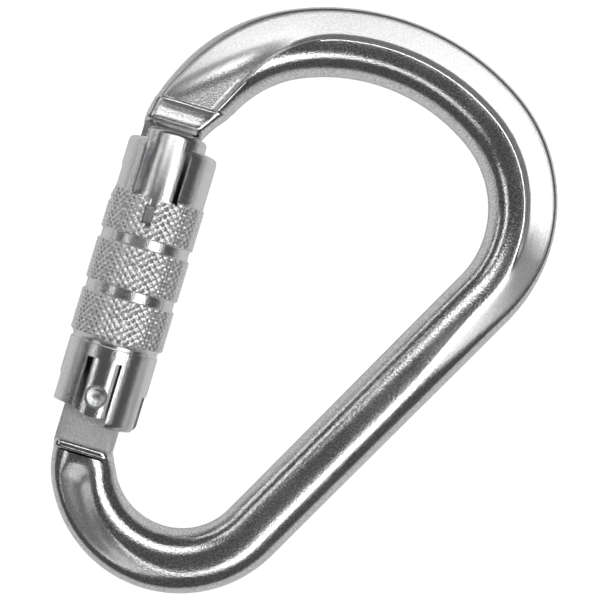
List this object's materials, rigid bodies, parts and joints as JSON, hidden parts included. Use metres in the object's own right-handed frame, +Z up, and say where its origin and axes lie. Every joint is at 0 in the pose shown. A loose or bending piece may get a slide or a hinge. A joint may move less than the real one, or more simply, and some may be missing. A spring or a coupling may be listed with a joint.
{
  "type": "locking carabiner",
  "caption": "Pear-shaped aluminium carabiner with a hinged gate, closed by a spring-loaded twist-lock sleeve with knurled bands.",
  "frame": {"origin": "centre of the whole outline, halfway through the thickness, with the carabiner lying flat", "axes": "+Y along the gate from the hinge to the nose, +X from the gate towards the spine, +Z up out of the flat outline"},
  "size_m": [0.0787, 0.1112, 0.0172],
  "materials": {
    "frame_aluminium": "polished forged aluminium",
    "gate_aluminium": "tumbled aluminium",
    "sleeve_aluminium": "turned, polished and knurled aluminium",
    "pin_steel": "bright stainless steel",
    "key_steel": "dull grey steel",
    "spring_steel": "drawn spring wire",
    "bush_plastic": "natural acetal"
  },
  "bodies": {
    "frame": {"frame": "frame_aluminium"},
    "gate": {"gate_body": "gate_aluminium", "hinge_rivet": "pin_steel", "gate_spring": "spring_steel", "sleeve_spring": "spring_steel", "thrust_washer": "pin_steel", "guide_bush": "bush_plastic", "retaining_ring": "spring_steel"},
    "sleeve": {"locking_sleeve": "sleeve_aluminium", "sleeve_key": "key_steel"},
    "plunger": {"spring_plunger": "pin_steel"}
  },
  "joints": [
    {"name": "gate_swing", "type": "hinge", "parent": "frame", "child": "gate", "pos_m": [-0.03079, -0.0247, 0], "axis": [0, 0, -1], "range_deg": [0, 46], "stiffness_Nm_per_rad": 0.3, "springref_deg": -34.38},
    {"name": "sleeve_twist", "type": "hinge", "parent": "gate", "child": "sleeve", "pos_m": [-0.03079, -0.0047, 0], "axis": [0, -1, 0], "range_deg": [0, 90], "stiffness_Nm_per_rad": 0.02, "springref_deg": -28.65, "deforming": ["sleeve_spring"]},
    {"name": "plunger_slide", "type": "slide", "parent": "gate", "child": "plunger", "axis": [0, 1, 0], "range_m": [0, 0.00081], "deforming": ["gate_spring"]}
  ],
  "couplings": [
    {"joint": "plunger_slide", "follows": "gate_swing", "m_per_rad": 0.001}
  ]
}
